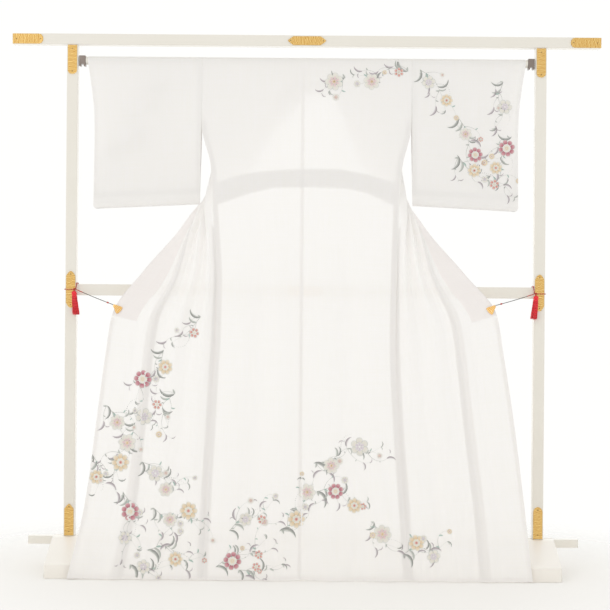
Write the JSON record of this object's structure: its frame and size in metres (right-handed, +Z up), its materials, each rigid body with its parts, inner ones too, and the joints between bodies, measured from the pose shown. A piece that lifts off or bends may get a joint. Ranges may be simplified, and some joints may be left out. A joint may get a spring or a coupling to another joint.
{
  "type": "homongi kimono on a kimono display stand",
  "caption": "Sheer formal kimono hung open on a white lacquered stand, back to the viewer, its fronts drawn outward by clips on cords with red tassels",
  "frame": {"origin": "bottom centre of the whole object's bounding box, on the floor", "axes": "+Z up, +X to the viewer's right when the garment's back is in view, -Y towards that viewer; the hem leans towards -Y"},
  "size_m": [1.832, 0.3944, 1.6723],
  "materials": {
    "silk": "sheer white silk gauze",
    "collar_silk": "white silk gauze in several plies",
    "white_lacquer": "off-white lacquered wood, satin",
    "gilt": "tooled gilt metal",
    "bracket": "taupe painted metal",
    "red_cord": "red silk cord",
    "dark_elastic": "dark elastic cord"
  },
  "bodies": {
    "root": {"beam": "white_lacquer", "beam_fitting_centre": "gilt", "beam_fitting_left": "gilt", "beam_fitting_right": "gilt", "body_left": "silk", "body_right": "silk", "clip_left": "gilt", "clip_right": "gilt", "collar": "collar_silk", "foot_left": "white_lacquer", "foot_right": "white_lacquer", "lower_rail": "white_lacquer", "middle_rail": "white_lacquer", "over_collar": "collar_silk", "overlap_left": "silk", "overlap_right": "silk", "post_fitting_bottom_left": "gilt", "post_fitting_bottom_right": "gilt", "post_fitting_middle_left": "gilt", "post_fitting_middle_right": "gilt", "post_fitting_top_left": "gilt", "post_fitting_top_right": "gilt", "post_left": "white_lacquer", "post_right": "white_lacquer", "rail_fitting_centre": "gilt", "rod": "white_lacquer", "rod_bracket_left": "bracket", "rod_bracket_right": "bracket", "sleeve_left": "silk", "sleeve_right": "silk", "tassel_left": "red_cord", "tassel_right": "red_cord", "tie_cord_left": "dark_elastic", "tie_cord_right": "dark_elastic", "tie_knot_left": "red_cord", "tie_knot_right": "red_cord", "tie_loop_left": "red_cord", "tie_loop_right": "red_cord", "waist_tuck": "silk"}
  },
  "joints": []
}
